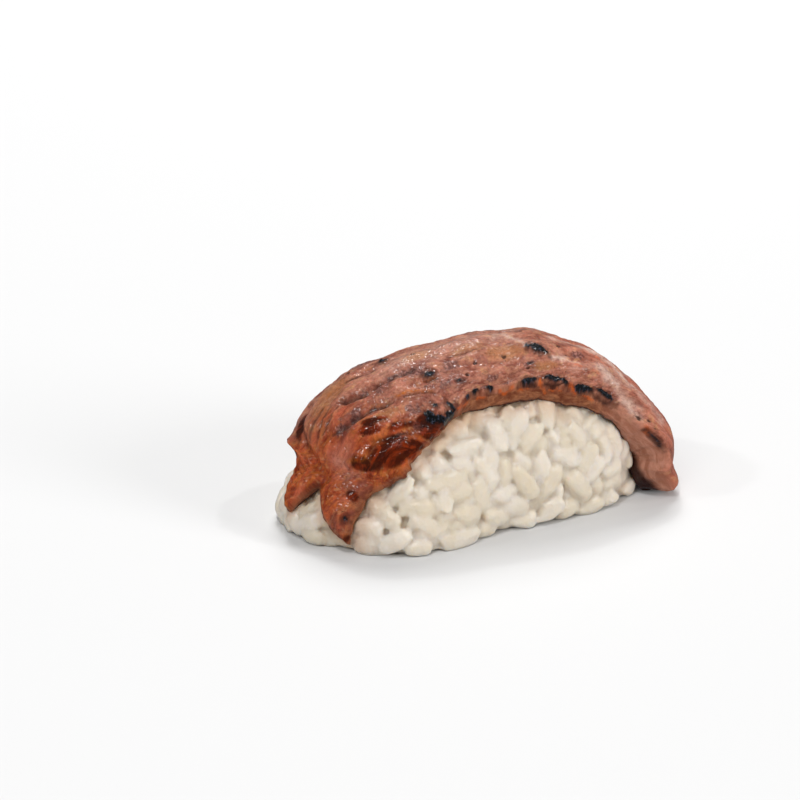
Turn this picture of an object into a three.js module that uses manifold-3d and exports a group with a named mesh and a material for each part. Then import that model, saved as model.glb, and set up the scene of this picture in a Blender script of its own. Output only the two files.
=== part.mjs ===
// A piece of seared beef nigiri: a pressed ball of short-grain rice with one slice of beef draped over it.
// Millimetres, +Z up. X runs along the slice, and the rice shows most on the side that faces -Y.
import * as THREE from "three";
import { mergeVertices } from "three/addons/utils/BufferGeometryUtils.js";
import Module from "manifold-3d";

// Driving dimensions of the rice ball. Its form is a rounded box, pressed by hand and so uneven.
const ballHalfLength = 26.7;
const ballHalfWidth = 15;
const ballHeight = 21.5;
const waistHeight = 4.5; // where the ball is widest
const lowReach = 23.3; // how far the lower half would reach down if the table did not cut it
const planPower = 2.75; // 2 is an oval seen from above, more is boxier
const sidePower = 2.1; // the same, seen from the side
const heelSwell = 0.24; // the foot of the ball bulges at its front left, by this share of its size
const pinchDepth = 4; // the left end is pressed in above its foot
const pinchHeight = 9.2;
const pinchReach = 4.2;

// Rice grains
const coreSink = 1.1; // the solid core lies this far inside the ball's outer form
const grainLength = 6.4;
const grainWidth = 3.1;
const grainSides = 5;
const grainSpacing = 3.2;
const grainSeed = 11;
const coreDetail = 5;

// The slice of beef, measured along its middle line from the top of the ball, left end to right end
const sliceLeft = -33;
const sliceRight = 40.5;
const sliceFront = -11.5;
const sliceBack = 14;
const sliceThickness = 2.75;
const sliceStepsAlong = 47;
const sliceStepsAcross = 23;
const frontCrowding = 1.2; // above 1 the steps across are finer towards the front edge
const sliceClearance = -0.25; // underside, from the ball's outer form
const restGap = 0.3; // air between the slice and the rice
const endReach = 0.3; // share of the length over which an end's outline fades into the straight slice
const sideReach = 0.35; // the same share of the width for the two long edges
const floorGap = 0.25; // the lowest the slice comes to the table

// Where the left end stops, by the distance across the slice: a front tongue, a notch, a middle tongue
// and a shorter back part. Then the right end, the front edge and the back edge.
const leftEnd = [[-13.5, -37], [-10.6, -37.9], [-9, -36.8], [-6.9, -34.8], [-4.6, -32.2], [-2.6, -30.2],
  [-1.6, -32.2], [-0.3, -34.8], [1, -34.9], [2.4, -31.6], [5, -28.5], [9, -26], [14, -23.5]];
const rightEnd = [[-13, 40.3], [-10, 39.8], [-4, 40], [2, 40.7], [8, 39.8], [14, 37]];
const frontEdge = [[-38, -10.3], [-33, -10], [-28.4, -9.8], [-26, -9.3], [-23.9, -10.5], [-21.8, -12.5],
  [-20, -12.6], [-15.7, -12], [-11.6, -11.3], [-7.6, -10.5], [1.5, -10.8], [9.7, -10.9], [15.4, -11.6],
  [22.7, -11.7], [30.5, -12.1], [41, -12.4]];
const backEdge = [[-33, 12.4], [-24, 13.8], [-12, 13.4], [0, 15], [12, 13.8], [24, 14.6], [41, 12.6]];

// The right end hangs free of the rice
const flapStart = 25;
const flapEnd = 36;
const flapPlanPower = 4.2;
const flapPush = 1.4;
const flapPushAt = 32;
const flapPushWidth = 5;
const cornerFlick = 3.6; // how far the front corner of that end turns out at the table
const flapSwell = 3.4; // how much thicker the slice grows inwards along that end's front edge

const smooth = (from, to, x) => {
  const share = THREE.MathUtils.clamp((x - from) / (to - from), 0, 1);
  return share * share * (3 - 2 * share);
};
const hump = (x, middle, width) => Math.exp(-(((x - middle) / width) ** 2));

// Smooth curve through a short list of stations, read at x
function through(stations, x) {
  const last = stations.length - 1;
  if (x <= stations[0][0]) return stations[0][1];
  if (x >= stations[last][0]) return stations[last][1];
  let i = 0;
  while (x > stations[i + 1][0]) i++;
  const [x0, y0] = stations[i];
  const [x1, y1] = stations[i + 1];
  const slopeAt = (k) => {
    if (k === 0 || k === last) return 0;
    const [xa, ya] = stations[k - 1];
    const [xb, yb] = stations[k + 1];
    return (yb - ya) / (xb - xa);
  };
  const span = x1 - x0;
  const f = (x - x0) / span;
  const f2 = f * f;
  const f3 = f2 * f;
  return y0 * (2 * f3 - 3 * f2 + 1) + y1 * (3 * f2 - 2 * f3)
    + span * (slopeAt(i) * (f3 - 2 * f2 + f) + slopeAt(i + 1) * (f3 - f2));
}

// How much further out the ball reaches in a direction than an even one would, as a share of its size
function unevenness(x, y, z) {
  const ends = 0.12 * x - 0.16 * x ** 3 + 0.07 * z * x ** 3 + 0.04 * z * x ** 2 + 0.03 * x * z;
  const sides = -0.07 * x * y - 0.05 * x ** 2 * y + 0.02 * y * z - 0.07 * z * y ** 2;
  const heel = heelSwell * hump(x, -0.45, 0.3) * smooth(0, -0.8, y) * smooth(0.6, -0.1, z);
  return ends + sides + heel;
}

// A point on the ball's outer form. along turns from the top towards +X, across towards +Y.
function ballPoint(along, across, power = planPower) {
  const x = Math.sin(along) * Math.cos(across);
  const y = Math.sin(across);
  const z = Math.cos(along) * Math.cos(across);
  const plan = (Math.abs(x) ** power + Math.abs(y) ** power) ** (sidePower / power);
  const reach = (plan + Math.abs(z) ** sidePower) ** (-1 / sidePower) * (1 + unevenness(x, y, z));
  const rise = z > 0 ? ballHeight - waistHeight : lowReach;
  const point = new THREE.Vector3(ballHalfLength * x, ballHalfWidth * y, rise * z).multiplyScalar(reach);
  point.z += waistHeight;
  point.x += pinchDepth * hump(point.z, pinchHeight, pinchReach) * smooth(-12, -24, point.x);
  return point;
}

// Turns a length along one of the ball's two middle lines, from the top, into the angle that reaches it
function lengthTable(pointAt) {
  const steps = 1400;
  const most = THREE.MathUtils.degToRad(140);
  const angles = [];
  const lengths = [];
  let before = pointAt(-most);
  for (let i = 0; i <= steps; i++) {
    const angle = THREE.MathUtils.mapLinear(i, 0, steps, -most, most);
    const point = pointAt(angle);
    angles.push(angle);
    lengths.push((i > 0 ? lengths[i - 1] : 0) + point.distanceTo(before));
    before = point;
  }
  const atTop = lengths[steps / 2];
  return (length) => {
    const wanted = THREE.MathUtils.clamp(length + atTop, 0, lengths[steps] - 1e-6);
    let low = 0;
    let high = steps;
    while (high - low > 1) {
      const middle = (low + high) >> 1;
      if (lengths[middle] <= wanted) low = middle;
      else high = middle;
    }
    return THREE.MathUtils.mapLinear(wanted, lengths[low], lengths[high], angles[low], angles[high]);
  };
}
const angleAlong = lengthTable((angle) => ballPoint(angle, 0));
const angleAcross = lengthTable((angle) => ballPoint(0, angle));

// The surface that the slice lies on, s along and t across
function drape(s, t) {
  const free = smooth(flapStart, flapEnd, s);
  const point = ballPoint(angleAlong(s), angleAcross(t), planPower + (flapPlanPower - planPower) * free);
  const corner = smooth(36, 41, s) * smooth(-5, -12, t);
  point.x += flapPush * hump(s, flapPushAt, flapPushWidth) * free + cornerFlick * corner;
  return point;
}

function drapeNormal(s, t) {
  const step = 0.4;
  const alongS = drape(s + step, t).sub(drape(s - step, t));
  const alongT = drape(s, t + step).sub(drape(s, t - step));
  return alongS.cross(alongT).normalize();
}

// Which way the slice's thickness goes: squarely out of the drape, but straight up along the front edge,
// whose cut face stands upright over the rice
function thicknessWay(s, t, fromFront) {
  const upright = 0.95 * smooth(-9, -3, s) * smooth(31, 23, s) * smooth(4.5, 0, fromFront);
  return drapeNormal(s, t).lerp(new THREE.Vector3(0, 0, 1), upright).normalize();
}

// Distance from a point of the slice to a line through some of its points
function distanceToPath(s, t, path) {
  let nearest = Infinity;
  for (let i = 1; i < path.length; i++) {
    const [s0, t0] = path[i - 1];
    const [s1, t1] = path[i];
    const share = THREE.MathUtils.clamp(((s - s0) * (s1 - s0) + (t - t0) * (t1 - t0))
      / ((s1 - s0) ** 2 + (t1 - t0) ** 2), 0, 1);
    nearest = Math.min(nearest, Math.hypot(s - s0 - share * (s1 - s0), t - t0 - share * (t1 - t0)));
  }
  return nearest;
}

// The folds pulled into the left end, and last a broad hollow along the crest: half width, depth and the
// line that each follows
const folds = [
  [1.2, 0.9, [[-21.5, 6.2], [-23.6, 4.2], [-25, 1.9], [-27.2, -0.8], [-29, -3.4]]],
  [0.9, 0.4, [[-18.5, 0.2], [-16.4, -1.3], [-13.1, -1.3], [-9.4, -2.3]]],
  [1, 0.5, [[-23, -2.2], [-20.3, -3.5], [-16.1, -4.9], [-14.4, -5.6]]],
  [1.1, 0.6, [[-12.8, -10.2], [-17, -10.1], [-20.4, -8.6], [-22.4, -6.2], [-22.8, -3.8]]],
  [4.5, 0.45, [[-3, 7], [9, 5]]],
];
// Crusts, lobes and drips that stand up from the slice: middle, half length, half width and height
const crusts = [
  [-10.8, -10, 2.6, 1.4, 0.4], [7, -9.5, 2.2, 1.1, 0.35], [11.2, -9.6, 2, 1, 0.35], [16, -10.5, 2.2, 1, 0.3],
  [20.4, -10.8, 2.2, 1.1, 0.3], [9.6, -4.5, 2.4, 1.1, 0.3], [-25.5, 4.6, 2.8, 3.2, 1.4],
  [-21.5, -10, 4.6, 2.4, 0.4],
];

// Thickness of the slice with its folds, ridges and sear marks
function thickness(s, t) {
  const leftThin = 1 - 0.14 * smooth(-14, -22, s) - 0.26 * smooth(-30, -38, s);
  const rightThin = 1 - 0.12 * smooth(32, 40, s);
  const ridges = 0.14 * Math.sin(t * 1.7 + 0.09 * s + 0.8) + 0.12 * Math.sin(s * 0.62 - t * 0.4);
  const flake = 0.55 * smooth(7.2, 8.6, s) * smooth(18, 9, s) * hump(t, 1.2, 1.8);
  let high = (sliceThickness + ridges) * leftThin * rightThin + flake;
  for (const [width, depth, path] of folds)
    high -= depth * hump(distanceToPath(s, t, path), 0, width);
  for (const [atS, atT, halfLength, halfWidth, height] of crusts)
    high += height * hump(s, atS, halfLength) * hump(t, atT, halfWidth);
  return Math.max(high, 1);
}

// The left part of the slice thins towards its end and its front edge, by the distance from them,
// while the right part keeps a square cut face
function edgeShare(s, fromEnd, fromFront) {
  const near = Math.min(fromEnd, fromFront);
  const thinned = 0.5 + 0.5 * Math.sqrt(smooth(-0.6, 3, near));
  return THREE.MathUtils.lerp(thinned, 1, smooth(-10, -4, s));
}

// One closed slab: the underside lies on the drape, and the top is a thickness above it
function slab(margin) {
  const across = sliceStepsAcross + 1;
  const under = [];
  const over = [];
  for (let i = 0; i <= sliceStepsAlong; i++) {
    const u = i / sliceStepsAlong;
    for (let j = 0; j <= sliceStepsAcross; j++) {
      const v = (j / sliceStepsAcross) ** frontCrowding;
      const straightS = THREE.MathUtils.lerp(sliceLeft, sliceRight, u);
      const straightT = THREE.MathUtils.lerp(sliceFront, sliceBack, v);
      const frontShift = smooth(sideReach, 0, v) * (through(frontEdge, straightS) - sliceFront);
      const backShift = smooth(1 - sideReach, 1, v) * (through(backEdge, straightS) - sliceBack);
      const t = straightT + frontShift + backShift + margin * (2 * v - 1);
      const leftShift = smooth(endReach, 0, u) * (through(leftEnd, t) - sliceLeft);
      const rightShift = smooth(1 - endReach, 1, u) * (through(rightEnd, t) - sliceRight);
      const s = straightS + leftShift + rightShift + margin * (2 * u - 1);
      const way = thicknessWay(s, t, straightT - sliceFront);
      const thick = thickness(s, t) * edgeShare(straightS, straightS - sliceLeft, straightT - sliceFront);
      const swell = flapSwell * smooth(25, 33, s) * smooth(-5, -12, t);
      const low = drape(s, t).addScaledVector(way, sliceClearance - swell - margin);
      const high = drape(s, t).addScaledVector(way, sliceClearance + thick + margin);
      low.z = Math.max(low.z, floorGap - margin);
      high.z = Math.max(high.z, floorGap - margin);
      under.push(low);
      over.push(high);
    }
  }
  const top = under.length;
  const index = [];
  const quad = (a, b, c, d) => index.push(a, b, c, a, c, d);
  for (let i = 0; i < sliceStepsAlong; i++)
    for (let j = 0; j < sliceStepsAcross; j++) {
      const a = i * across + j;
      quad(top + a, top + a + across, top + a + across + 1, top + a + 1);
      quad(a, a + 1, a + across + 1, a + across);
    }
  for (let i = 0; i < sliceStepsAlong; i++) {
    const front = i * across;
    const back = front + sliceStepsAcross;
    quad(front, front + across, top + front + across, top + front);
    quad(back + across, back, top + back, top + back + across);
  }
  for (let j = 0; j < sliceStepsAcross; j++) {
    const right = sliceStepsAlong * across + j;
    quad(j + 1, j, top + j, top + j + 1);
    quad(right, right + 1, top + right + 1, top + right);
  }
  const geometry = new THREE.BufferGeometry().setFromPoints([...under, ...over]);
  geometry.setIndex(index);
  return geometry;
}

const wasm = await Module();
wasm.setup();

// A three.js geometry as a manifold-3d solid, and back
function solidFrom(geometry) {
  const bare = geometry.clone();
  bare.deleteAttribute("normal");
  bare.deleteAttribute("uv");
  const merged = mergeVertices(bare, 1e-4);
  return new wasm.Manifold(new wasm.Mesh({
    numProp: 3,
    vertProperties: merged.attributes.position.array,
    triVerts: new Uint32Array(merged.index.array),
  }));
}

function geometryFrom(solid) {
  const mesh = solid.getMesh();
  const geometry = new THREE.BufferGeometry();
  geometry.setAttribute("position", new THREE.BufferAttribute(mesh.vertProperties, 3));
  geometry.setIndex(new THREE.BufferAttribute(mesh.triVerts, 1));
  return geometry;
}

// Seeded numbers from 0 to 1
function seeded(seed) {
  let state = seed;
  return () => {
    state = (state * 1664525 + 1013904223) % 4294967296;
    return state / 4294967296;
  };
}

// The ball's solid inside, without its grains
function core() {
  const geometry = new THREE.IcosahedronGeometry(1, coreDetail);
  const place = geometry.attributes.position;
  const point = new THREE.Vector3();
  for (let i = 0; i < place.count; i++) {
    point.fromBufferAttribute(place, i).normalize();
    const outer = ballPoint(Math.atan2(point.x, point.z), Math.asin(THREE.MathUtils.clamp(point.y, -1, 1)));
    const inward = new THREE.Vector3(0, 0, waistHeight).sub(outer).setLength(coreSink);
    outer.add(inward);
    place.setXYZ(i, outer.x, outer.y, outer.z);
  }
  return solidFrom(geometry);
}

// Places for grains over the whole ball above the table, none too near another
function grainPlaces(random) {
  const tries = 6000;
  const kept = [];
  const step = 0.02;
  for (let i = 0; i < tries; i++) {
    const up = THREE.MathUtils.lerp(-0.3, 0.9, random());
    const turn = random() * 2 * Math.PI;
    const level = Math.sqrt(1 - up * up);
    const along = Math.atan2(level * Math.cos(turn), up);
    const across = Math.asin(level * Math.sin(turn));
    const place = ballPoint(along, across);
    if (place.z < 0.5 || kept.some((other) => other.place.distanceTo(place) < grainSpacing)) continue;
    const normal = ballPoint(along + step, across).sub(ballPoint(along - step, across))
      .cross(ballPoint(along, across + step).sub(ballPoint(along, across - step))).normalize();
    kept.push({ place, normal });
  }
  return kept;
}

// One plump grain with blunt ends, its long way along Z
function grainShape() {
  const profile = [[0, -1], [0.78, -0.66], [1, 0], [0.78, 0.66], [0, 1]];
  const points = profile.map(([radius, along]) => new THREE.Vector2(radius, along));
  return new THREE.LatheGeometry(points, grainSides).scale(grainWidth / 2, grainLength / 2, grainWidth / 2)
    .rotateX(Math.PI / 2);
}

// A grain laid on the ball. Where it would cross the slice it is pushed deeper, or else left out.
function placedGrain(random, { place, normal }, cover) {
  const outward = new THREE.Vector3(0, 1, 0);
  const size = 0.85 + 0.25 * random();
  const lean = (random() - 0.5) * (random() < 0.25 ? 1.8 : 0.7);
  const turn = new THREE.Quaternion().setFromUnitVectors(outward, normal)
    .multiply(new THREE.Quaternion().setFromAxisAngle(outward, random() * Math.PI))
    .multiply(new THREE.Quaternion().setFromAxisAngle(new THREE.Vector3(1, 0, 0), lean));
  const depth = grainWidth * 0.32 + 0.5 * random();
  for (let deeper = 0; deeper < 1.3; deeper += 0.4) {
    const middle = place.clone().addScaledVector(normal, -depth - deeper);
    const geometry = grainShape().scale(size, size * 0.9, size).applyQuaternion(turn);
    geometry.translate(middle.x, middle.y, middle.z);
    const solid = solidFrom(geometry);
    if (solid.intersect(cover).isEmpty()) return solid;
  }
  return null;
}

function riceBall() {
  const random = seeded(grainSeed);
  const cover = solidFrom(slab(restGap));
  const table = solidFrom(new THREE.BoxGeometry(200, 200, 60).translate(0, 0, -30));
  const grains = grainPlaces(random).map((spot) => placedGrain(random, spot, cover)).filter(Boolean);
  const joined = wasm.Manifold.union([core(), ...grains]);
  const pieces = joined.subtract(cover).subtract(table).decompose();
  return pieces.reduce((best, piece) => (piece.volume() > best.volume() ? piece : best));
}

const riceWhite = new THREE.MeshStandardMaterial({ color: 0xe6dccb, roughness: 0.45, metalness: 0 });
const searedBrown = new THREE.MeshStandardMaterial({ color: 0xa06a52, roughness: 0.35, metalness: 0 });

const rice = new THREE.Mesh(geometryFrom(riceBall()), riceWhite);
rice.name = "rice";
const beef = new THREE.Mesh(slab(0), searedBrown);
beef.name = "beef";

// The origin is the middle of the outline, at the table
const piece = new THREE.Group();
piece.add(rice, beef);
const outline = new THREE.Box3().setFromObject(piece);
const middle = outline.getCenter(new THREE.Vector3());
piece.position.set(-middle.x, -middle.y, -outline.min.z);

export default piece;
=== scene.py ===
# Seared beef nigiri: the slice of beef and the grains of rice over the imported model.
# Shapes are worked out in millimetres on the rice ball, then put in place in metres.
import math

import bpy
import numpy as np
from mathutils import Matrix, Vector, noise
from mathutils.kdtree import KDTree


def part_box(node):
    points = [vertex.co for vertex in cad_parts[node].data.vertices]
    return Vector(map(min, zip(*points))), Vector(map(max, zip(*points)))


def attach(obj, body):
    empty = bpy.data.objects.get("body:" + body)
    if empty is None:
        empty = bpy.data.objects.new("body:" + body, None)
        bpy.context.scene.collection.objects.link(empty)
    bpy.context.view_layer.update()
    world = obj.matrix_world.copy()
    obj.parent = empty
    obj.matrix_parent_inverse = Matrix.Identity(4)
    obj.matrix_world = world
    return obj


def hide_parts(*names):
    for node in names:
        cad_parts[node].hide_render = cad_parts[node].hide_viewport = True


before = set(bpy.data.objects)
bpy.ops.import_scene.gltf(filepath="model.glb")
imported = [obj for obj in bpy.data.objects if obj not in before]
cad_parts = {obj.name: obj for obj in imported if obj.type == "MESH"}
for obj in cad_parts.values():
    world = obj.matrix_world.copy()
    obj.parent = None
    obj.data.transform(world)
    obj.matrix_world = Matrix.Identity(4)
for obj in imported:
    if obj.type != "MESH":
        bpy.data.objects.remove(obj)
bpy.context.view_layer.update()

# The rice ball, the same form as the solid one: a rounded box pressed by hand, in mm
ball = {
    "halfLength": 26.7, "halfWidth": 15.0, "height": 21.5,
    "waist": 4.5, "lowReach": 23.3,
    "planPower": 2.75, "sidePower": 2.1,
    "heelSwell": 0.24,
    "pinchDepth": 4.0, "pinchHeight": 9.2, "pinchReach": 4.2,
}

# The slice of beef, measured along its middle line from the top of the ball, in mm
beef = {
    "left": -33.0, "right": 40.5, "front": -11.5, "back": 14.0,
    "thickness": 2.75, "clearance": -0.25, "frontCrowding": 1.2,
    "endReach": 0.3, "sideReach": 0.35, "floorGap": 0.25,
    "leftEnd": [
        (-13.5, -37), (-10.6, -37.9), (-9, -36.8), (-6.9, -34.8), (-4.6, -32.2), (-2.6, -30.2),
        (-1.6, -32.2), (-0.3, -34.8), (1, -34.9), (2.4, -31.6), (5, -28.5), (9, -26), (14, -23.5)
    ],
    "rightEnd": [(-13, 40.3), (-10, 39.8), (-4, 40), (2, 40.7), (8, 39.8), (14, 37)],
    "frontEdge": [
        (-38, -10.3), (-33, -10), (-28.4, -9.8), (-26, -9.3), (-23.9, -10.5), (-21.8, -12.5), (-20, -12.6),
        (-15.7, -12), (-11.6, -11.3), (-7.6, -10.5), (1.5, -10.8), (9.7, -10.9), (15.4, -11.6),
        (22.7, -11.7), (30.5, -12.1), (41, -12.4)
    ],
    "backEdge": [(-33, 12.4), (-24, 13.8), (-12, 13.4), (0, 15), (12, 13.8), (24, 14.6), (41, 12.6)],
    "flapStart": 25.0, "flapEnd": 36.0, "flapPlanPower": 4.2,
    "flapPush": 1.4, "flapPushAt": 32.0, "flapPushWidth": 5.0, "cornerFlick": 3.6,
    "stepsAlong": 300, "stepsAcross": 125, "rimCuts": 10,
    "flapSwell": 3.4,
    # Folds pulled into the left end, and last a broad hollow along the crest: half width, depth and line
    "folds": [
        (1.2, 0.9, [(-21.5, 6.2), (-23.6, 4.2), (-25, 1.9), (-27.2, -0.8), (-29, -3.4)]),
        (0.9, 0.4, [(-18.5, 0.2), (-16.4, -1.3), (-13.1, -1.3), (-9.4, -2.3)]),
        (1, 0.5, [(-23, -2.2), (-20.3, -3.5), (-16.1, -4.9), (-14.4, -5.6)]),
        (1.1, 0.6, [(-12.8, -10.2), (-17, -10.1), (-20.4, -8.6), (-22.4, -6.2), (-22.8, -3.8)]),
        (4.5, 0.45, [(-3, 7), (9, 5)])
    ],
    # Crusts, lobes and drips that stand up: middle, half length, half width and height
    "crusts": [
        (-10.8, -10, 2.6, 1.4, 0.4), (7, -9.5, 2.2, 1.1, 0.35), (11.2, -9.6, 2, 1, 0.35),
        (16, -10.5, 2.2, 1, 0.3), (20.4, -10.8, 2.2, 1.1, 0.3), (9.6, -4.5, 2.4, 1.1, 0.3),
        (-25.5, 4.6, 2.8, 3.2, 1.4), (-21.5, -10, 4.6, 2.4, 0.4)
    ],
    # Fine relief, in mm: how deep it is and how large along and across the slice
    "fibreDepth": 0.11, "fibreSize": (4.5, 0.8), "wrinkleDepth": 0.20, "wrinkleSize": (3.0, 1.4),
    "cragDepth": 0.14, "cragSize": 2.2, "blisterDepth": 0.07, "blisterSize": 0.75,
    # How far the marks stand up, with what their lumps add, and how deep the cracks and pits are
    "charRise": (0.20, 0.25), "crumbRise": (0.04, 0.20), "lumpSize": 0.6, "fatRise": 0.08, "paleRise": 0.06,
    "crackDepth": 0.3, "pitDepth": 0.15,
    # The edges: their rounding, how ragged they are, and how the cut face swells and how rough it is
    "edgeRound": 0.5, "edgeRag": 0.22, "ragSize": 1.6, "ragReach": 1.2,
    "rimSwell": 0.55, "rimRough": 0.14, "rimSize": 0.8,
}

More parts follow.
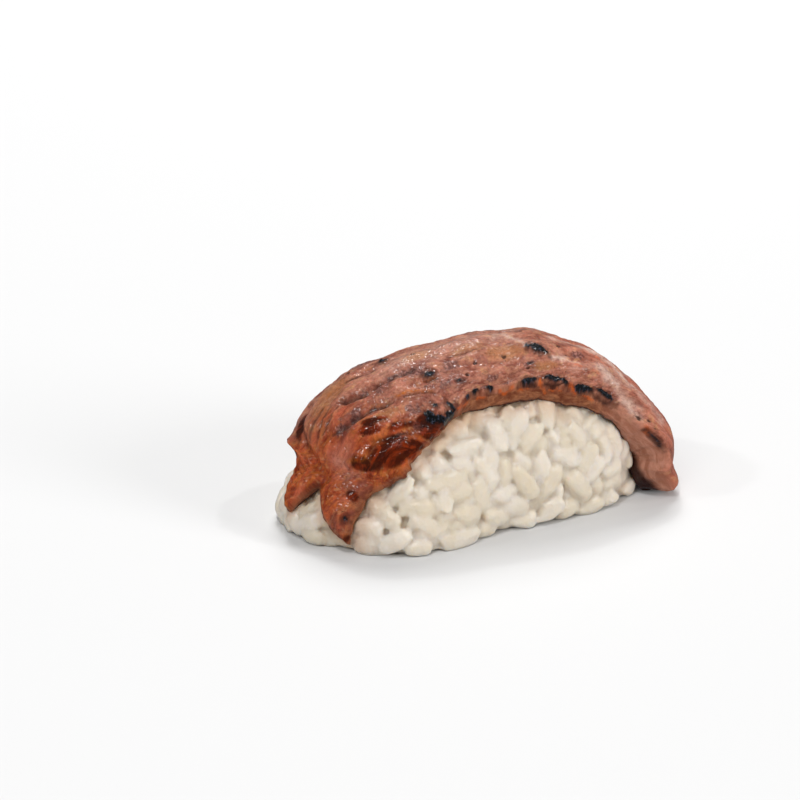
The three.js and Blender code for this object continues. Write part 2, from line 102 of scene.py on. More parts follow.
# Marks of the torch on the slice, and where shade and sheen are painted on it, by their places along and
# across it in mm
sear = {
    # Black crusts: middle, half length, half width and, where they lie askew, their turn in degrees
    "char": [
        (-12.5, -9.6, 0.95, 0.75, 60), (-11.4, -10.5, 1.2, 0.6, -25), (-9.5, -10.5, 1.2, 0.55, 15),
        (-8.2, -9.6, 0.5, 0.75, 10), (-10.5, -8.7, 0.45, 0.3), (-5.1, -10.3, 0.4, 0.2),
        (-3.2, -10.3, 0.7, 0.26, 5), (-0.2, -10.3, 0.75, 0.26, -5), (-4.4, -6.9, 0.35, 0.25),
        (-7.3, -4.2, 0.85, 0.42), (10, -4.9, 1.7, 0.55, -22), (7.9, -10.5, 1.7, 0.36, 5),
        (12.4, -10.3, 2.1, 0.5, -8), (15, -11, 1, 0.22, -20), (19, -11.3, 1.9, 0.36),
        (23, -11.1, 2.3, 0.36, -8), (-9.7, 3.5, 0.6, 0.45), (-34, -9.3, 0.26, 0.24),
        (29, 3.5, 0.8, 0.4, 20), (5, 12.6, 1.6, 0.5), (17, 13.2, 1.4, 0.5), (-12, 12.4, 1.2, 0.5),
        (35, 7, 0.6, 0.4), (31.6, -12.15, 1.7, 0.08, -4)
    ],
    # Cracks and creases, painted dark as painted shade: half width, depth and line
    "cracks": [
        (0.38, 0.4, [(-18.3, 0.3), (-17.3, -0.5), (-16.4, -1.3), (-14.9, -1.7), (-13.1, -1.2)]),
        (0.3, 0.28, [(-12.6, -1.5), (-11.4, -1.4), (-10.5, -1.5), (-9.4, -2.3), (-8.2, -2.4)]),
        (0.34, 0.34, [(-19.8, -3.5), (-18.3, -4.1), (-17.2, -4.3), (-16.1, -4.9), (-14.8, -5.3)]),
        (0.22, 0.2, [(-22.4, -2.3), (-21.5, -2.9), (-20.4, -3.5)]),
        (0.24, 0.22, [(-8.6, -4.8), (-7, -5.1)]), (0.2, 0.16, [(-12.8, -5.9), (-10.8, -6.4), (-8.8, -7.1)]),
        (0.16, 0.14, [(-24.2, 1.2), (-22.3, 1.5), (-20.4, 2.3)]),
        (0.16, 0.14, [(-23.6, 0.1), (-21.8, 0.5), (-20, 1.4)]),
        (0.14, 0.12, [(-22.9, -0.9), (-21.3, -0.5), (-19.6, 0.4)]),
        (0.34, 0.35, [(-22.1, 5.9), (-22.8, 5.1), (-23.6, 4.2), (-24.3, 2.6), (-25, 1.4)]),
        (0.26, 0.25, [(-12.9, -10), (-14.6, -9.9), (-16.8, -9.8), (-18.3, -9.4), (-20, -8.5), (-21, -7.6)]),
        (0.22, 0.15, [(-16, 3.6), (-13.6, 2.6), (-11.8, 2.3)]),
        (0.2, 0.14, [(-3, -2.4), (-0.6, -2.9), (1.6, -2.7)]),
        (0.22, 0.25, [(29.8, -12), (30.8, -12.2), (32, -12.1), (33.6, -12.4)]),
        (0.2, 0.16, [(6.7, 2.2), (6.9, 1.2), (8.2, 0.6), (10.4, 0.1)]),
        (0.15, 0.12, [(6.6, -10.8), (10.6, -11), (15, -11.2), (19, -11.4), (24.6, -11.6)]),
        (0.22, 0.15, [(26, 8.4), (30, 6.8), (35, 6.2)]), (0.22, 0.15, [(31, -2.4), (36, -3.2)])
    ],
    # Pale lines of fat, and where a pale painted sheen lies along the crest: half width, strength and line
    "marblingAndSheen": [
        (0.8, 0.8, [(19.4, -7.2), (22.2, -8.6), (24.9, -9.7), (27.9, -11.1)]),
        (0.65, 1, [(18, -3.8), (20.7, -4.8), (23.4, -6), (25.4, -7.2)]),
        (0.5, 0.5, [(26.2, -7.6), (28.8, -8.8), (31, -9.4)]),
        (0.35, 0.7, [(11.7, -6.2), (13.7, -6.6), (15.6, -7.3)]),
        (0.35, 0.7, [(14, -1.6), (18, -2.5), (22, -3.6), (27, -4)]),
        (0.45, 0.8, [(15, 2.2), (20, 1.4), (26, 1.8), (31, 0.4)]),
        (0.35, 0.7, [(12, 6), (18, 6.8), (24, 5.8), (30, 6.8)]),
        # The next two are painted sheen: a broad pale wash along the crest and a pale line running down
        # from it
        (2.2, 0.26, [(-10, 1), (-4.5, 0.6), (-1, 0.8), (2.1, 1), (4.4, 0.8), (6.8, 0.2)]),
        (0.6, 0.7, [(6.6, 0.9), (7.6, -0.6), (8.4, -2.4), (8.9, -4)]),
        (1.6, 0.25, [(-24.5, -4.5), (-26.5, -6)]), (0.35, 0.5, [(-8, 5.5), (-2, 6.6), (4, 6.2)]),
        (0.3, 0.5, [(-14, 8), (-6, 9.4), (3, 9)])
    ],
    # Amber lines of melted fat, mostly under the black crusts: half width, strength and line
    "fat": [
        (0.16, 0.9, [(-7.4, -10.3), (-5.2, -10.7)]), (0.15, 0.9, [(-3.2, -11.1), (-1, -11.1)]),
        (0.22, 1, [(1.6, -10.9), (3, -11.2), (4.6, -11)]), (0.18, 0.9, [(5.6, -11.3), (7.6, -11.2)]),
        (0.26, 1, [(9.8, -10.5), (10.6, -11.2), (11, -11.9)]), (0.16, 0.8, [(12, -11.5), (14.4, -11.7)]),
        (0.24, 1, [(15.9, -11.2), (16.8, -11.6), (17.4, -12.1)]), (0.16, 0.8, [(19, -12), (21.4, -12)]),
        (0.2, 0.8, [(-8.7, -4.7), (-7.7, -4.9), (-6.8, -4.8)]),
        (0.34, 1.3, [(-13.3, -5.2), (-11.6, -5.6), (-9.2, -6.6)]),
        (0.18, 0.7, [(-16.9, -3.9), (-15.6, -4.6)]), (0.26, 0.7, [(-20.7, 2.4), (-20, 2.5)]),
        (0.16, 0.6, [(-23.8, 0.7), (-21.8, 1.1), (-20.2, 1.8)]), (0.26, 0.7, [(-19, 3.6), (-18.4, 3.8)]),
        (0.16, 0.6, [(-23, -0.3), (-21.4, 0.1), (-19.8, 0.9)]), (0.2, 0.6, [(-12.3, 3.5), (-11.7, 3.7)]),
        (0.2, 0.7, [(-25.8, 4.6), (-25.2, 3)]), (0.2, 0.7, [(-24.4, -1.2), (-23.2, -1.9)]),
        (0.22, 0.7, [(-28.8, -1.6), (-28, -2.8)]), (0.28, 0.8, [(15.5, -7.4), (16.3, -7.7)]),
        (0.3, 0.8, [(18.9, -5), (19.8, -5.2)]), (0.28, 0.7, [(18.3, -8), (19.1, -8.3)]),
        (0.26, 0.8, [(29.9, -11.9), (30.5, -12.1)]), (0.22, 0.7, [(-17.6, -10), (-15.8, -10.3)]),
        (0.24, 0.8, [(-23.8, -6.2), (-23.2, -7.6)]), (0.2, 0.6, [(5, 8), (7, 8.3)]),
        (0.2, 0.6, [(-17, 9), (-15, 9.2)]), (0.2, 0.6, [(21, 9), (23, 8.7)])
    ],
    # Crumbly browned patches, the same way as the black crusts
    "crumb": [
        (-8.4, -2.9, 1.5, 0.9), (-9.9, -1.7, 1.2, 0.6), (-13.6, -2.3, 1.6, 0.7, 20), (-11.3, -1.3, 1, 0.5),
        (-15.8, -0.9, 0.8, 0.5), (-17.2, -4.5, 1, 0.5, 20), (-19.3, -3.6, 1.4, 0.6, 20),
        (-21.3, -2.7, 1.2, 0.5, 20), (-13.7, -7.8, 1.1, 0.8), (-15.4, -10.1, 1.8, 0.8, -10),
        (-19.3, -9.8, 1.8, 0.8), (-9.2, -6.3, 0.9, 0.6), (-3.6, -3.9, 1.5, 0.8), (-4.4, -7.1, 0.8, 0.6),
        (-6.4, -6.5, 1.1, 0.6), (1.1, -8.2, 1.1, 0.6), (3.6, -10, 1, 0.4), (8, -7.2, 0.8, 0.7),
        (-1, -10, 1, 0.4), (-7, -9.3, 1, 0.6), (16.2, -5.4, 1, 0.6), (-12, 7.5, 1.6, 0.8, 10),
        (2, 9, 1.6, 0.7), (14, 8, 1.4, 0.7, -10), (27, 6, 1.2, 0.6), (33, -1, 1.4, 0.7),
        (31, 9.4, 1.6, 0.8), (22, 12, 1.6, 0.8), (36.5, 3.4, 1, 0.7)
    ],
    # Tanned patches
    "tan": [
        (-18.6, 3.8, 4.2, 2.4, 15), (-16.5, -6.5, 2.6, 0.8, -10), (5.4, -4.4, 3, 1.3),
        (0.4, -1.8, 2.8, 1.2), (-6, 0.5, 2.6, 1), (10, -7.6, 2.4, 0.9), (12, 4, 3, 1.4),
        (-4, 9.5, 3.4, 1.6), (20, 10, 3, 1.6), (-31.2, -8.6, 1.6, 1, 30), (30, 2, 4, 2, 10), (36, 9, 2.4, 2)
    ],
    # Duller purple-brown places
    "purple": [
        (-4.6, -6.2, 3.6, 2.4), (-7.8, -2.6, 2.8, 1.4), (-13.6, -2.2, 2.8, 1, 15),
        (-19.8, -3.4, 2.4, 1, 20), (0.8, -5, 1.4, 1), (8, -7.2, 1.4, 1.1), (-11.2, -7.4, 1.8, 1),
        (-34.6, -9, 3.4, 1.7), (-29.6, -8.2, 2.6, 1.8), (3, 8, 3, 1.4), (-10, 8, 3, 1.6, 10),
        (25, 5, 3, 1.6), (34, -3, 2.6, 1.6), (29, 11, 3, 1.6), (15, 12, 3, 1.2)
    ],
    # Pinker places in the folds of the left end
    "pink": [
        (-25, -3.9, 2.6, 1.5, 25), (-22.9, -5, 1.6, 1.1), (-28.4, -5.2, 1.4, 0.9, 30),
        (-24.2, 3, 1.6, 0.6, 50), (-22.8, 0.6, 1.4, 0.5, 20), (-32.4, -1, 1.6, 0.8),
        (-31.2, -8.2, 1.4, 1.1), (-20, -1.2, 1.6, 0.6, 20)
    ],
    # Small pits, painted dark as painted shade: middle and radius
    "pits": [
        (8, -6.9, 0.45), (7.5, -7.8, 0.4), (4.7, -5, 0.45), (-0.1, -4.9, 0.4), (-6.2, 1.2, 0.4),
        (-2.6, -6.4, 0.45), (13.8, -4.2, 0.35), (-14.6, 5, 0.4), (28.6, -11.4, 0.35), (29.8, -10.9, 0.3),
        (-4, 8.4, 0.5), (9, 10, 0.4), (20, 3.6, 0.4)
    ],
    # Where the glaze lies thick, again as the black crusts
    "glaze": [
        (-20.9, -10.4, 3.8, 2.5, -15), (-18.6, -11.4, 2, 1.1, 10), (-23.7, 4.6, 2, 0.5, 50),
        (-19.6, -6.6, 1.8, 0.7, -40), (-16.8, -8.6, 2.2, 0.7, -20), (-13.3, -9.5, 1.8, 0.7, -5),
        (-13.6, -10.9, 3.4, 1.1, 4), (-24.2, -7.8, 1.1, 1.6), (-27.4, 5.6, 1.6, 2.6),
        (-30.4, -8.4, 1.2, 0.8, 40), (-22.5, 10.5, 2.6, 1.8), (3, 13.6, 7, 1.2), (-36.9, -9.9, 0.8, 0.5),
        (-18.4, -5.9, 1.8, 0.6, -30)
    ],
    # Drips off the front edge: middle, half width and length
    "drips": [(-24, 0.45, 0.4), (-22.4, 0.45, 0.3)],
    # The fan of pleats: the spot that it starts from, its depth and how close the pleats are
    "pleatsFrom": (-31.0, -3.0), "pleatDepth": 0.13, "pleatCount": 27,
}

# How the spots' edges break up: noise seed, size in mm, raggedness and softness. Then the shares of the
# slice's height where the spots have faded out and where they are full.
markEdges = {
    "char": (11, 0.8, 0.7, 0.08, 0.2, 0.6), "scorch": (12, 0.7, 0.9, 0.3, 0.1, 0.4),
    "glaze": (26, 2.0, 0.8, 0.5, 0.1, 0.5), "crumb": (29, 0.9, 1.2, 0.15, 0.6, 0.95),
    "tan": (32, 2.4, 0.8, 0.5, -2, -1), "purple": (35, 1.6, 1.2, 0.6, -2, -1),
    "pink": (38, 1.8, 1.1, 0.4, -2, -1),
}

# The same for pits, and for lines the noise seed and how far they wander
pitEdge = (17, 0.6, 0.5)
lineEdges = {"crack": (14, 0.35), "paleFatAndSheen": (20, 0.7), "fat": (23, 0.4)}

metres = 0.001


def smoothStep(low, high, x):
    share = np.clip((x - low) / (high - low), 0, 1)
    return share * share * (3 - 2 * share)


def hump(x, middle, width):
    return np.exp(-((x - middle) / width) ** 2)


def through(stations, x):
    # Smooth curve through a short list of stations, read at x
    xs, ys = np.array(stations, float).T
    slopes = np.zeros(len(xs))
    slopes[1:-1] = (ys[2:] - ys[:-2]) / (xs[2:] - xs[:-2])
    x = np.clip(x, xs[0], xs[-1])
    i = np.clip(np.searchsorted(xs, x, side="left") - 1, 0, len(xs) - 2)
    span = xs[i + 1] - xs[i]
    f = (x - xs[i]) / span
    f2 = f * f
    f3 = f2 * f
    level = ys[i] * (2 * f3 - 3 * f2 + 1) + ys[i + 1] * (3 * f2 - 2 * f3)
    return level + span * (slopes[i] * (f3 - 2 * f2 + f) + slopes[i + 1] * (f3 - f2))


def unevenness(x, y, z):
    ends = 0.12 * x - 0.16 * x ** 3 + 0.07 * z * x ** 3 + 0.04 * z * x ** 2 + 0.03 * x * z
    sides = -0.07 * x * y - 0.05 * x ** 2 * y + 0.02 * y * z - 0.07 * z * y ** 2
    heel = ball["heelSwell"] * hump(x, -0.45, 0.3) * smoothStep(0, -0.8, y) * smoothStep(0.6, -0.1, z)
    return ends + sides + heel


def ballPoint(along, across, power=None):
    # A point on the ball's outer form, from the angles towards +X and +Y
    power = ball["planPower"] if power is None else power
    side = ball["sidePower"]
    x = np.sin(along) * np.cos(across)
    y = np.sin(across)
    z = np.cos(along) * np.cos(across)
    plan = (np.abs(x) ** power + np.abs(y) ** power) ** (side / power)
    reach = (plan + np.abs(z) ** side) ** (-1 / side) * (1 + unevenness(x, y, z))
    rise = np.where(z > 0, ball["height"] - ball["waist"], ball["lowReach"])
    px = ball["halfLength"] * x * reach
    py = ball["halfWidth"] * y * reach
    pz = rise * z * reach + ball["waist"]
    pinch = ball["pinchDepth"] * hump(pz, ball["pinchHeight"], ball["pinchReach"])
    px = px + pinch * smoothStep(-12, -24, px)
    return np.stack([px, py, pz], -1)


def lengthTable(pointAt):
    # Angles and the lengths along the ball that reach them, counted from the top
    angles = np.radians(np.linspace(-140, 140, 1401))
    points = pointAt(angles)
    steps = np.linalg.norm(np.diff(points, axis=0), axis=1)
    lengths = np.concatenate([[0], np.cumsum(steps)])
    return angles, lengths - lengths[700]


alongTable = lengthTable(lambda angle: ballPoint(angle, 0 * angle))
acrossTable = lengthTable(lambda angle: ballPoint(0 * angle, angle))


def drape(s, t):
    # The surface that the slice lies on, s along and t across
    free = smoothStep(beef["flapStart"], beef["flapEnd"], s)
    power = ball["planPower"] + (beef["flapPlanPower"] - ball["planPower"]) * free
    point = ballPoint(np.interp(s, alongTable[1], alongTable[0]),
                      np.interp(t, acrossTable[1], acrossTable[0]), power)
    corner = smoothStep(36, 41, s) * smoothStep(-5, -12, t)
    push = beef["flapPush"] * hump(s, beef["flapPushAt"], beef["flapPushWidth"]) * free
    point[..., 0] += push + beef["cornerFlick"] * corner
    return point


def drapeNormal(s, t, step=0.4):
    alongS = drape(s + step, t) - drape(s - step, t)
    alongT = drape(s, t + step) - drape(s, t - step)
    normal = np.cross(alongS, alongT)
    return normal / np.linalg.norm(normal, axis=-1, keepdims=True)


def thicknessWay(s, t, fromFront):
    # Squarely out of the drape, but straight up along the front edge, whose cut face stands upright
    upright = 0.95 * smoothStep(-9, -3, s) * smoothStep(31, 23, s) * smoothStep(4.5, 0, fromFront)
    way = drapeNormal(s, t) * (1 - upright)[..., None] + upright[..., None] * np.array([0, 0, 1.0])
    return way / np.linalg.norm(way, axis=-1, keepdims=True)


def distanceToPath(s, t, path):
    nearest = np.full(np.shape(s), 99.0)
    for start, end in zip(path, path[1:]):
        ds, dt = end[0] - start[0], end[1] - start[1]
        share = np.clip(((s - start[0]) * ds + (t - start[1]) * dt) / (ds * ds + dt * dt), 0, 1)
        nearest = np.minimum(nearest, np.hypot(s - start[0] - share * ds, t - start[1] - share * dt))
    return nearest


def sliceThickness(s, t):
    # The solid slice's own thickness, with its folds, ridges and sear marks
    leftThin = 1 - 0.14 * smoothStep(-14, -22, s) - 0.26 * smoothStep(-30, -38, s)
    rightThin = 1 - 0.12 * smoothStep(32, 40, s)
    ridges = 0.14 * np.sin(t * 1.7 + 0.09 * s + 0.8) + 0.12 * np.sin(s * 0.62 - t * 0.4)
    flake = 0.55 * smoothStep(7.2, 8.6, s) * smoothStep(18, 9, s) * hump(t, 1.2, 1.8)
    high = (beef["thickness"] + ridges) * leftThin * rightThin + flake
    for width, depth, path in beef["folds"]:
        high = high - depth * hump(distanceToPath(s, t, path), 0, width)
    for atS, atT, halfLength, halfWidth, height in beef["crusts"]:
        high = high + height * hump(s, atS, halfLength) * hump(t, atT, halfWidth)
    return np.maximum(high, 1)


def edgeShare(s, fromEnd, fromFront):
    thinned = 0.5 + 0.5 * np.sqrt(smoothStep(-0.6, 3, np.minimum(fromEnd, fromFront)))
    return thinned + (1 - thinned) * smoothStep(-10, -4, s)


def flapSwell(s, t):
    # How much thicker the hanging end grows inwards along its front edge
    return beef["flapSwell"] * smoothStep(25, 33, s) * smoothStep(-5, -12, t)


def sliceSpot(u, v):
    # Where the shares u along and v across lie on the slice, and how far they are from its edges
    v = v ** beef["frontCrowding"]
    straightS = beef["left"] + (beef["right"] - beef["left"]) * u
    straightT = beef["front"] + (beef["back"] - beef["front"]) * v
    frontShift = through(beef["frontEdge"], straightS) - beef["front"]
    backShift = through(beef["backEdge"], straightS) - beef["back"]
    t = straightT + smoothStep(beef["sideReach"], 0, v) * frontShift
    t = t + smoothStep(1 - beef["sideReach"], 1, v) * backShift
    leftShift = through(beef["leftEnd"], t) - beef["left"]
    rightShift = through(beef["rightEnd"], t) - beef["right"]
    s = straightS + smoothStep(beef["endReach"], 0, u) * leftShift
    s = s + smoothStep(1 - beef["endReach"], 1, u) * rightShift
    return s, t, straightS - beef["left"], straightT - beef["front"]


def noiseAt(points, size, seed=0, octaves=1, kind="plain"):
    # Seeded noise at each point, about -1 to 1. Ridged is 0 to about 1, high along thin lines.
    start = Vector((seed * 17.3, seed * 9.1, seed * 5.7))
    spots = [Vector(point) + start for point in points / size]
    if kind == "ridged":
        return np.array([1 - 2 * abs(noise.noise(spot)) for spot in spots])
    if octaves > 1:
        return np.array([noise.fractal(spot, 0.9, 2.1, octaves) for spot in spots])
    return np.array([noise.noise(spot) for spot in spots])


def onMap(s, t, depth=0):
    # Points on the slice's flat map, for a pattern that lies on it
    return np.stack([s, t, depth + 0 * s], -1)


def modelShift():
    # Where the ball's own frame lies in the model: the slice's solid gives the shift
    u, v = np.meshgrid(np.linspace(0, 1, 48), np.linspace(0, 1, 24), indexing="ij")
    s, t, fromLeft, fromFront = sliceSpot(u, v)
    way = thicknessWay(s, t, fromFront)
    thick = sliceThickness(s, t) * edgeShare(fromLeft + beef["left"], fromLeft, fromFront)
    faces = [drape(s, t) + way * (beef["clearance"] - flapSwell(s, t))[..., None],
             drape(s, t) + way * (beef["clearance"] + thick)[..., None]]
    points = np.concatenate([face.reshape(-1, 3) for face in faces])
    low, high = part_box("beef")
    middle = (points.min(0) + points.max(0)) / 2
    return np.array([(low.x + high.x) / 2 / metres - middle[0],
                     (low.y + high.y) / 2 / metres - middle[1], 0.0])


shift = modelShift()
print("ball frame to model frame, mm:", [round(float(x), 3) for x in shift])


def readPoints(obj):
    values = np.zeros(len(obj.data.vertices) * 3, np.float32)
    obj.data.vertices.foreach_get("co", values)
    return values.reshape(-1, 3).astype(float)


def setPoints(obj, points):
    obj.data.vertices.foreach_set("co", ((points + shift) * metres).astype(np.float32).ravel())
    obj.data.update()


def setAttribute(obj, name, values):
    layer = obj.data.attributes.new(name, "FLOAT", "POINT")
    layer.data.foreach_set("value", np.asarray(values, np.float32))


def setSliceMap(obj, name, s, t):
    # A UV map in slice lengths: one unit is 100 mm
    layer = obj.data.uv_layers.new(name=name)
    corner = np.zeros(len(obj.data.loops), np.int32)
    obj.data.loops.foreach_get("vertex_index", corner)
    pairs = np.stack([s[corner], t[corner]], -1) * 0.01 + 0.5
    layer.data.foreach_set("uv", pairs.astype(np.float32).ravel())


# The beef
def addSliceBlank():
    # A flat grid, drawn up into a slab one unit thick whose rim is cut into rows
    bpy.ops.object.select_all(action="DESELECT")
    bpy.ops.mesh.primitive_grid_add(x_subdivisions=beef["stepsAlong"], y_subdivisions=beef["stepsAcross"],
                                    size=1, location=(0.5, 0.5, 0))
    blank = bpy.context.object
    blank.name = "beefSlice"
    blank.data.name = "beefSlice"
    bpy.ops.object.transform_apply(location=True, rotation=False, scale=False)
    bpy.ops.object.mode_set(mode="EDIT")
    bpy.ops.mesh.select_all(action="SELECT")
    bpy.ops.mesh.extrude_region_move(TRANSFORM_OT_translate={"value": (0, 0, 1)})
    bpy.ops.mesh.select_mode(type="EDGE")
    bpy.ops.mesh.select_all(action="DESELECT")
    bpy.ops.object.mode_set(mode="OBJECT")
    for edge in blank.data.edges:
        ends = [blank.data.vertices[i].co.z for i in edge.vertices]
        edge.select = abs(ends[0] - ends[1]) > 0.5
    bpy.ops.object.mode_set(mode="EDIT")
    bpy.ops.mesh.subdivide(number_cuts=beef["rimCuts"])
    bpy.ops.mesh.select_all(action="SELECT")
    bpy.ops.mesh.normals_make_consistent(inside=False)
    bpy.ops.object.mode_set(mode="OBJECT")
    return blank


def fineRelief(s, t):
    # Fibres along the slice, pleats fanning out of the notch at the left end, crags and small blisters
    bent = t + 0.5 * noiseAt(onMap(s, t), 6.0, 1)
    long, wide = beef["fibreSize"]
    strands = noiseAt(onMap(s / long, bent / wide), 1.0, 2)
    long, wide = beef["wrinkleSize"]
    wrinkles = noiseAt(onMap(s / long, (bent + 0.35 * s) / wide), 1.0, 3, kind="ridged")
    crags = noiseAt(onMap(s, t), beef["cragSize"], 4, octaves=4)
    blisters = noiseAt(onMap(s, t), beef["blisterSize"], 8, octaves=2)
    left = smoothStep(-8, -20, s)
    fromS, fromT = sear["pleatsFrom"]
    turn = np.arctan2(t - fromT, s - fromS)
    away = np.hypot(s - fromS, t - fromT)
    pleats = np.sin(turn * sear["pleatCount"] + 2.2 * noiseAt(onMap(s, t), 3.0, 9))
    pleats = pleats * smoothStep(1.5, 5, away) * smoothStep(18, 9, away) * smoothStep(-7.5, -4, t)
    height = beef["fibreDepth"] * strands * (0.35 + 0.65 * left)
    height = height + beef["wrinkleDepth"] * (wrinkles - 0.4) * (0.15 + 0.55 * left)
    height = height + sear["pleatDepth"] * pleats * left
    return height + beef["cragDepth"] * crags + beef["blisterDepth"] * blisters


def spotMask(s, t, spots, seed, size, ragged, soft=0.15):
    # 1 inside the round or drawn-out spots, 0 outside them, with a broken edge
    broken = noiseAt(onMap(s, t), size, seed, octaves=3)
    best = np.full(len(s), -9.0)
    for atS, atT, halfLength, halfWidth, *turn in spots:
        ds, dt = s - atS, t - atT
        cosine, sine = math.cos(math.radians(sum(turn))), math.sin(math.radians(sum(turn)))
        along = (ds * cosine + dt * sine) / halfLength
        beside = (dt * cosine - ds * sine) / halfWidth
        best = np.maximum(best, 1 - along ** 2 - beside ** 2)
    return smoothStep(-soft, 2 * soft, best + ragged * broken)


def lineMask(s, t, lines, seed, wobble):
    # 1 on the lines, fading over each one's half width, with an unsteady course
    atS = s + wobble * noiseAt(onMap(s, t), 1.3, seed)
    atT = t + wobble * noiseAt(onMap(s, t), 1.1, seed + 1)
    strength = 0.75 + 0.5 * noiseAt(onMap(s, t), 1.6, seed + 2)
    best = np.zeros(len(s))
    for halfWidth, depth, line in lines:
        best = np.maximum(best, depth * hump(distanceToPath(atS, atT, line), 0, halfWidth))
    return best * np.clip(strength, 0, 1.2)


def outOfRims(s, t, rims, amount):
    # Moves the points of each rim outwards on the map
    left, right, front, back = rims
    return s - amount * left + amount * right, t - amount * front + amount * back


def sliceMarks(s, t, mapS, mapT, w):
    # The torch's marks, the painted shade of the cracks and pits, and the pale lines of fat with the
    # painted sheen, each a share from 0 to 1, on the upper face and some way down the cut face
    scorched = [(a, b, c + 0.55, 1.6 * d + 0.25, *turn) for a, b, c, d, *turn in sear["char"]]
    spots = dict(sear, scorch=scorched)
    marks = {}
    for name, (seed, size, ragged, soft, low, high) in markEdges.items():
        at = (s, t) if name == "crumb" else (mapS, mapT)
        marks[name] = spotMask(*at, spots[name], seed, size, ragged, soft) * smoothStep(low, high, w)
    pits = spotMask(s, t, [(a, b, r, r * 0.7) for a, b, r in sear["pits"]], *pitEdge)
    # Painted shade in the cracks, creases and pits
    fullCracks = [(halfWidth, 1.0, line) for halfWidth, _, line in sear["cracks"]]
    cracks = lineMask(mapS, mapT, fullCracks, *lineEdges["crack"])
    marks["crack"] = np.maximum(cracks, pits) * smoothStep(0.5, 0.9, w)
    # Pale lines of fat, and the painted sheen along the crest
    marks["paleFatAndSheen"] = lineMask(s, t, sear["marblingAndSheen"], *lineEdges["paleFatAndSheen"]) * smoothStep(0.6, 0.95, w)
    marks["fat"] = lineMask(mapS, mapT, sear["fat"], *lineEdges["fat"]) * smoothStep(0.1, 0.4, w)
    return marks, pits


def sliceRelief(s, t, top, toEdge, fine, marks, pits):
    # Fine relief, grooves, pits and the lumps of the char, in mm
    relief = fine * top * (0.3 + 0.7 * smoothStep(0, 1.2, toEdge)) * (1 - 0.4 * marks["glaze"])
    grooves = np.clip(lineMask(s, t, sear["cracks"], *lineEdges["crack"]) / 0.25, 0, 1.2)
    relief = relief - beef["crackDepth"] * grooves * top - beef["pitDepth"] * pits * top
    lumps = noiseAt(onMap(s, t), beef["lumpSize"], 6, octaves=2)
    for name in ("char", "crumb"):
        least, more = beef[name + "Rise"]
        relief = relief + marks[name] * (least + more * lumps)
    return relief + beef["fatRise"] * marks["fat"] * top + beef["paleRise"] * marks["paleFatAndSheen"]


def buildBeef():
    slab = addSliceBlank()
    u, v, w = np.clip(readPoints(slab), 0, 1).T
    s, t, fromLeft, fromFront = sliceSpot(u, v)
    fromBack = (1 - v ** beef["frontCrowding"]) * (beef["back"] - beef["front"])
    fromRight = (1 - u) * (beef["right"] - beef["left"])
    rims = [edge < 1e-4 for edge in (fromLeft, fromRight, fromFront, fromBack)]
    ragged = beef["edgeRag"] * noiseAt(onMap(s, t), beef["ragSize"], 5, octaves=2)
    t = t + ragged * hump(fromFront, 0, beef["ragReach"])
    s = s + ragged * 1.4 * hump(fromLeft, 0, beef["ragReach"])
    for atS, halfWidth, length in sear["drips"]:
        t = t - length * hump(s, atS, halfWidth) * hump(fromFront, 0, 1.0)

    toEdge = np.minimum(np.minimum(fromFront, fromBack), np.minimum(fromLeft, fromRight))
    toEdge = np.maximum(toEdge, 0)
    high = sliceThickness(s, t) * edgeShare(fromLeft + beef["left"], fromLeft, fromFront)
    mapS, mapT = outOfRims(s, t, rims, (1 - w) * (high + flapSwell(s, t)))
    marks, pits = sliceMarks(s, t, mapS, mapT, w)
    fine = fineRelief(s, t)
    relief = sliceRelief(s, t, smoothStep(0.5, 1.0, w), toEdge, fine, marks, pits)
    rounding = np.minimum(beef["edgeRound"], 0.42 * high)
    drop = rounding * (1 - np.sqrt(np.clip(1 - (1 - np.clip(toEdge / rounding, 0, 1)) ** 2, 0, 1)))
    upper = high - drop
    lower = 0.6 * drop
    level = lower + (upper - lower) * w + relief * w - flapSwell(s, t) * (1 - w)
    rim = 4 * w * (1 - w)
    outward = rounding * beef["rimSwell"] * rim
    rough = noiseAt(onMap(s, t, 3 * w), beef["rimSize"], 7, octaves=2)
    outward = outward + beef["rimRough"] * rough * rim
    s, t = outOfRims(s, t, rims, outward)
    points = drape(s, t) + thicknessWay(s, t, fromFront) * (beef["clearance"] + level)[:, None]
    points[:, 2] = np.maximum(points[:, 2], beef["floorGap"] * (0.6 + 0.4 * w))
    setPoints(slab, points)

    # The map unfolds over the rims, so a pattern runs down them
    setSliceMap(slab, "sliceMap", mapS, mapT)
    marks["cut"] = 1 - smoothStep(0.55, 0.98, w - 0.25 * hump(toEdge, 0, 0.45))
    # The underside and the lowest rows of the cut face, higher up at the hanging end, where painted shade
    # goes
    marks["under"] = smoothStep(0, -0.25, w - 0.25 - 0.4 * smoothStep(34, 39, s))
    # The fine relief's height, which the colour uses for painted shade in its hollows and painted light on
    # its ridges
    marks["rise"] = smoothStep(-0.22, 0.22, fine)
    marks["along"] = s
    marks["across"] = t
    for name, values in marks.items():
        setAttribute(slab, name, values)
    bpy.ops.object.shade_smooth()
    return slab


beefSlice = buildBeef()
print("beef slice:", len(beefSlice.data.polygons), "faces")


